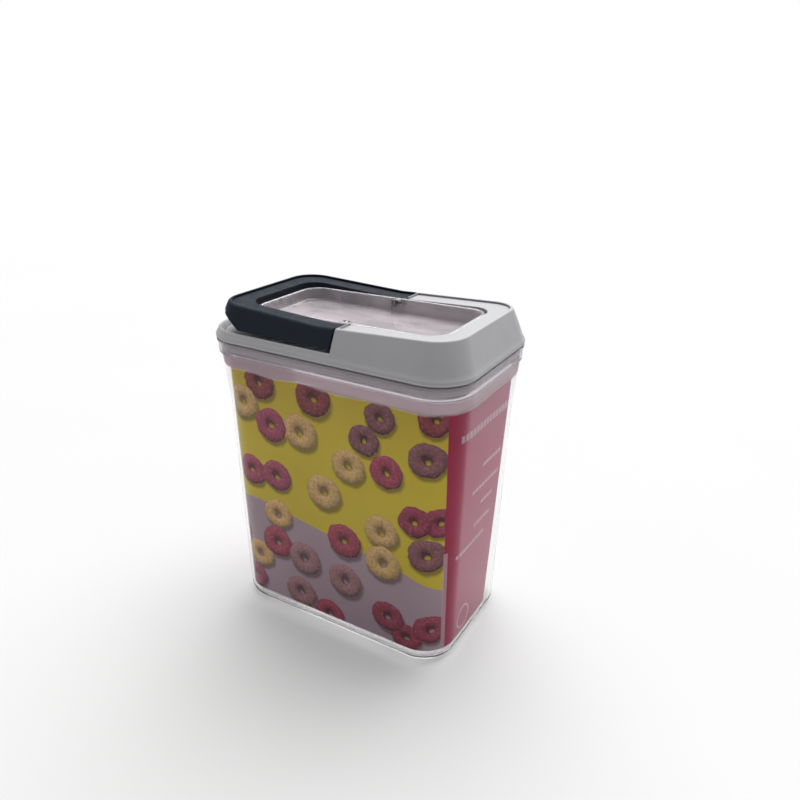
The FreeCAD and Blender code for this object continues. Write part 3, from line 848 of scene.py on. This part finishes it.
def seam_lip(side):
    """Rounded lip that closes the raised half at the seam, on one side."""
    crown = top(0)(SEAM_X)
    loops = []
    edge = ((SEAM_X, 0.75), (SEAM_X + 0.1, 0.4), (SEAM_X + 0.35, 0.12), (SEAM_X + 0.75, -0.02),
            (SEAM_LIP_END, -0.02))
    for x, draw in edge:
        points = [(bevel(amount + draw)(z)[1], z) for z, amount in BEVEL_FOOT]
        for turn in arc(0, 90, 6):
            z = crown - 1.0 + math.sin(turn)
            points.append((bevel(1 - math.cos(turn) + draw)(z)[1], z - draw))
        inner = OPENING[1] + draw
        points += [(inner + 0.3, crown - draw), (inner, crown - 0.3 - draw), (inner, BEVEL_FOOT[0][0])]
        loops.append([(x, side * y, z) for y, z in points])
    return shell(loops, closed=False)


def cam_pad(side):
    """Pad on the web under one lever cam."""
    (left, right), (near, far) = CAM_PAD_X, CAM_PAD_Y
    points = [(left, near), (right, near), (right, far), (left, far)]
    loops = [[(x, side * y, z) for x, y in points] for z in (WEB_TOP - 1, CAM_PAD_TOP)]
    return shell(loops, closed=False)


# ---- flip lever ------------------------------------------
LEVER_END_X = 7.7
LEVER_FOOT_Z = 225.0
CREASE_Z = 232.5
CREASE_X = 94.2
UNDERCUT_SLOPE = 1.1         # the free end draws in by this much for each millimetre below the crease,
EASE_SLOPE = 0.5             # and may reach out by this much above it, where the bevel takes over
END_RADIUS = 40.0            # of the free end's rounded corners, seen from above
END_FLAT = 26.0              # half width of its straight middle
END_BAR_WALL = 10.5          # thickness of the free end at the crease
LEVER_DECK_DROP = 1.6
LEVER_ROUNDING = 1.4
LEVER_LIP = 2.6
LEVER_SKIN = 2.5
PIVOT_X = 3.1
PIVOT_Z = 233.5
PLATE_DROP = 2.0             # the tub sinks by this much over the lever's quarter turn
CAM_HEIGHT = 6.6             # pin axis down to the cam's foot with the lever shut
CAM_WEB_REACH = 9.0          # of the web behind the pin
CAM_Y0 = 39.1
CAM_Y1 = 45.8
BORE_RADIUS = 1.55


def tuck(loop, reach_at):
    """Draw in the lever's free end to a rounded outline whose reach depends on height."""
    drawn = []
    for x, y, z in loop:
        past = max(abs(y) - END_FLAT, 0)
        limit = -(reach_at(z) - END_RADIUS) - math.sqrt(END_RADIUS * END_RADIUS - past * past)
        drawn.append((max(x, limit), y, z))
    return drawn


def undercut(z):
    """How far the free end may reach out: tucked in below the crease, eased above it."""
    below = CREASE_Z - z
    return CREASE_X - (UNDERCUT_SLOPE if below > 0 else EASE_SLOPE) * below


def build_lever(material):
    """U-shaped lever, hollow below, with a cam web in each arm."""
    outside = [(bevel(0.6), LEVER_FOOT_Z), (bevel(0.2), LEVER_FOOT_Z + 0.12),
               (bevel(0), LEVER_FOOT_Z + 0.5)]
    outside += [(bevel(0), z) for z in (227, 229, 231, 232, CREASE_Z, 233)]
    outside += [(bevel(0), part_way(233, LEVER_ROUNDING, share)) for share in (0.3, 0.6, 0.9)]
    loops = [tuck(loop_at(section, height), undercut) for section, height in outside]
    for section, height in crest_and_deck(LEVER_ROUNDING, LEVER_LIP, LEVER_DECK_DROP):
        loops.append(loop_at(section, height))
    roof = top(LEVER_DECK_DROP + SKIN)
    loops += [loop_at(OPENING, LEVER_FOOT_Z + 0.4), loop_at(inset(OPENING, -0.4), LEVER_FOOT_Z),
              loop_at(inset(OPENING, -SKIN), LEVER_FOOT_Z), loop_at(inset(OPENING, -SKIN), roof)]
    inside = [(bevel(LEVER_SKIN), roof), (bevel(LEVER_SKIN), LEVER_FOOT_Z)]
    for section, height in inside:
        loops.append(tuck(loop_at(section, height), lambda z: CREASE_X - END_BAR_WALL))
    bodies = [shell(loops, keep=(LEVER_END_X, -1))]
    bodies += [cam_web(side) for side in (-1, 1)]
    piece = piece_from("flip_lever_shell", bodies, material, sharp=32)
    place_piece(piece, "lever", ["flip_lever"])


def cam_edge():
    """Outline of the web round the pin: the cam at its foot, the arm's end, the deck."""
    rate = PLATE_DROP / (math.pi / 2)
    points = []
    for turn in arc(0, 90, 12):
        height = CAM_HEIGHT - rate * turn
        points.append((height * math.sin(turn) - rate * math.cos(turn),
                       -height * math.cos(turn) - rate * math.sin(turn)))
    roof = top(LEVER_DECK_DROP + 0.5)(LEVER_END_X) - PIVOT_Z
    return points + [(LEVER_END_X - PIVOT_X, roof), (-CAM_WEB_REACH, roof), (-CAM_WEB_REACH, -CAM_HEIGHT)]


def reach_along(points, turn):
    """Distance from the origin to a closed outline along one direction."""
    ahead = (math.cos(turn), math.sin(turn))
    best = 0.0
    for (x0, z0), (x1, z1) in zip(points, points[1:] + points[:1]):
        edge = (x1 - x0, z1 - z0)
        cross = ahead[0] * edge[1] - ahead[1] * edge[0]
        if abs(cross) < 1e-9:
            continue
        distance = (x0 * edge[1] - z0 * edge[0]) / cross
        share = (x0 * ahead[1] - z0 * ahead[0]) / cross
        if distance > 0 and -1e-6 <= share <= 1 + 1e-6:
            best = max(best, distance)
    return best


def cam_web(side):
    """Web with the cam and the pin's bore, on one side."""
    edge = cam_edge()
    turns = [math.radians(3 * step) for step in range(120)]
    reaches = [reach_along(edge, turn) for turn in turns]
    drawn_in = [reach - 0.4 for reach in reaches]
    bore = [BORE_RADIUS] * len(turns)
    loops = []
    for y, radii in ((CAM_Y0, reaches), (CAM_Y1 - 0.4, reaches), (CAM_Y1, drawn_in), (CAM_Y1, bore),
                     (CAM_Y0, bore)):
        loops.append([(PIVOT_X + radius * math.cos(turn), side * y, PIVOT_Z + radius * math.sin(turn))
                      for radius, turn in zip(radii, turns)])
    return shell(loops)


# ---- press tub -------------------------------------------
TUB_RIM = (75.0, 35.8, 13.0)
TUB_RIM_Z = 236.2
TUB_MIDDLE_Z = 230.0
TUB_FLOOR_TOP = 225.8
TUB_DRAFT = 0.02
TUB_RISE = 0.02              # the rim climbs to the right by this much for each millimetre
TUB_WALL = 1.8
PRESS_FLANGE = (94.6, 57.5, 22.1)
FLANGE_LOW = 205.8
FLANGE_HIGH = 208.0
BOSS_Y = 30.4
BOSS_HALF_LENGTH = 4.0
BOSS_HALF_DEPTH = 2.1


def tub(amount=0.0):
    """Section of the tub wall as a function of height."""
    def section(z):
        draft = TUB_DRAFT * (TUB_RIM_Z - z)
        return tuple(size - draft - amount for size in TUB_RIM)
    return section


def tub_rim(drop):
    """Height of the tub's rim as a function of x, less a drop."""
    return lambda x: TUB_RIM_Z + TUB_RISE * x - drop


def build_tub(material):
    """Window tub with a rolled rim; its wall runs on down to the press flange."""
    floor_round = 2.0
    profile = [(tub(TUB_WALL + 9), TUB_FLOOR_TOP)]
    for turn in arc(0, 90, 6):
        profile.append((tub(TUB_WALL + floor_round * (1 - math.sin(turn))),
                        TUB_FLOOR_TOP + floor_round * (1 - math.cos(turn))))
    profile.append((tub(TUB_WALL), TUB_MIDDLE_Z))
    for turn in arc(180, -45, 14):
        profile.append((tub(0.45 - 1.35 * math.cos(turn)), tub_rim(0.8 - 0.8 * math.sin(turn))))
    profile += [(tub(), tub_rim(1.9)), (tub(), TUB_MIDDLE_Z), (tub(), FLANGE_HIGH + 0.8),
                (tub(-0.25), FLANGE_HIGH + 0.25), (tub(-0.8), FLANGE_HIGH),
                (inset(PRESS_FLANGE, 0.5), FLANGE_HIGH), (PRESS_FLANGE, FLANGE_HIGH - 0.5),
                (PRESS_FLANGE, FLANGE_LOW + 0.5), (inset(PRESS_FLANGE, 0.5), FLANGE_LOW),
                (tub(TUB_WALL - 0.4), FLANGE_LOW), (tub(TUB_WALL), FLANGE_LOW + 0.4),
                (tub(TUB_WALL), TUB_FLOOR_TOP - 3.0), (tub(TUB_WALL + 0.3), TUB_FLOOR_TOP - 2.3),
                (tub(TUB_WALL + 1.0), TUB_FLOOR_TOP - 2.0), (tub(TUB_WALL + 9), TUB_FLOOR_TOP - 2.0)]
    loops = [loop_at(section, height) for section, height in profile]
    piece = piece_from("press_tub_shell", [shell(loops, closed=False)], material, sharp=60)
    place_piece(piece, "plate", ["press_tub"])


def build_bosses(material):
    """The two pin bosses, as one piece."""
    piece = piece_from("press_tub_bosses", [boss(side) for side in (-1, 1)], material, sharp=60)
    place_piece(piece, "plate", ["press_tub"])


def boss(side):
    """Rounded block inside the tub wall that holds one pin."""
    low, high = TUB_FLOOR_TOP - 1.0, TUB_RIM_Z - 0.1
    middle = BOSS_Y + BOSS_HALF_DEPTH
    loops = []
    for z, draw in ((low, 0.5), (low + 0.5, 0.0), (high - 1.2, 0.0), (high - 0.5, 0.2), (high - 0.1, 0.6),
                    (high, 1.0)):
        section = (BOSS_HALF_LENGTH - draw, BOSS_HALF_DEPTH - draw, 1.2 - draw)
        loops.append([(PIVOT_X + x, side * (middle + y), z) for x, y in outline(section, along=())])
    return shell(loops, closed=False)


# ---- carried-over CAD nodes ------------------------------
def dress(node, material):
    """Give a CAD node its material."""
    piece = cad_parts[node]
    piece.data.materials.clear()
    piece.data.materials.append(material)


# ---- stage -----------------------------------------------
FLOOR_REACH = 9.0            # half the floor's side, in metres
FLOOR_GLOW = 0.226           # lights the floor a little in the object's shadow
FLOOR_GAP = 0.0002           # keeps the clear base from merging with the floor
WORLD_DIM = 0.32
BACKDROP_TOWARDS = (-0.46, 0.88, 0.0)
SUN_STRENGTH = 5.0
SUN_SPREAD = 70.0            # degrees
SUN_FROM = (-0.1, 0.5, 0.86)
CAMERA_AZIMUTH = 30.16
CAMERA_ELEVATION = 23.04
CAMERA_ROLL = 0.63
CAMERA_DISTANCE = 0.5481
CAMERA_TARGET = (0.0084, 0.0294, 0.1588)
CAMERA_LENS = 32.4           # in millimetres, as is the sensor's width
CAMERA_SENSOR = 36.0


def build_floor():
    """Plain pale floor."""
    material, nodes, shader = new_material("floor")
    drift = nodes.noise(object_position(nodes), 3, 2)
    nodes.plug(nodes.mix(drift, (0.42, 0.42, 0.42, 1), (0.44, 0.44, 0.44, 1)), shader.inputs["Base Color"])
    set_inputs(shader, {"Roughness": 0.9, "Emission Color": (1, 1, 1, 1),
                        "Emission Strength": FLOOR_GLOW})
    mesh = bpy.data.meshes.new("floor")
    square = ((-1, -1), (1, -1), (1, 1), (-1, 1))
    points = [(x * FLOOR_REACH, y * FLOOR_REACH, -FLOOR_GAP) for x, y in square]
    mesh.from_pydata(points, [], [(0, 1, 2, 3)])
    mesh.materials.append(material)
    floor = add_object("floor", mesh)


def build_world():
    """White near the horizon behind the object, dim elsewhere."""
    world = bpy.data.worlds.new("studio")
    world.use_nodes = True
    nodes = Nodes(world.node_tree)
    direction = nodes.add("ShaderNodeTexCoord").outputs["Generated"]
    behind = nodes.step(nodes.vector("DOT_PRODUCT", direction, BACKDROP_TOWARDS), 0.2, 0.6)
    parts = nodes.add("ShaderNodeSeparateXYZ")
    nodes.plug(direction, parts.inputs[0])
    low = nodes.step(parts.outputs["Z"], 0.26, 0.13)
    backdrop = nodes.math("MULTIPLY", nodes.math("MULTIPLY", behind, low), 1.0 - WORLD_DIM)
    background = world.node_tree.nodes["Background"]
    background.inputs["Color"].default_value = (1, 1, 1, 1)
    nodes.plug(nodes.math("ADD", backdrop, WORLD_DIM), background.inputs["Strength"])
    bpy.context.scene.world = world


def build_lights():
    """One very soft light from above and behind."""
    sun = bpy.data.lights.new("sky_panel", "SUN")
    sun.energy = SUN_STRENGTH
    sun.angle = math.radians(SUN_SPREAD)
    lamp = add_object("sky_panel", sun)
    lamp.rotation_euler = Vector(SUN_FROM).to_track_quat("Z", "Y").to_euler()


def build_camera():
    """Camera to the right of the front, a little above."""
    azimuth, elevation, roll = (math.radians(angle) for angle in
                                (CAMERA_AZIMUTH, CAMERA_ELEVATION, CAMERA_ROLL))
    back = Vector((math.sin(azimuth) * math.cos(elevation),
                   -math.cos(azimuth) * math.cos(elevation), math.sin(elevation)))
    right = Vector((math.cos(azimuth), math.sin(azimuth), 0))
    up = back.cross(right)
    rolled_right = right * math.cos(roll) + up * math.sin(roll)
    rolled_up = up * math.cos(roll) - right * math.sin(roll)
    turn = Matrix((rolled_right, rolled_up, back)).transposed().to_4x4()
    data = bpy.data.cameras.new("camera")
    data.sensor_width = CAMERA_SENSOR
    data.lens = CAMERA_LENS
    data.clip_start = 0.01
    camera = add_object("camera", data)
    camera.matrix_world = Matrix.Translation(Vector(CAMERA_TARGET) + back * CAMERA_DISTANCE) @ turn
    bpy.context.scene.camera = camera


# ---- build -----------------------------------------------
bpy.context.scene.view_settings.view_transform = "Standard"
build_floor()
build_world()
build_lights()
build_camera()

build_container(clear_container())
build_card(printed_card(), bare_card())
build_frame(satin_plastic("frame_grey", FRAME_GREY, 0.45))
build_lever(satin_plastic("lever_navy", LEVER_NAVY, 0.6, specular=0.06))
build_tub(clear_tub())
boss_clear = clear_boss()
build_bosses(boss_clear)
for cap in ("pin_cap_front", "pin_cap_rear"):
    dress(cap, boss_clear)
dress("gasket", silicone_rubber())
dress("gasket_retainer", satin_plastic("retainer_white", RETAINER_WHITE, 0.4))
steel = ground_steel()
for pin in ("pivot_pin_front", "pivot_pin_rear"):
    dress(pin, steel)
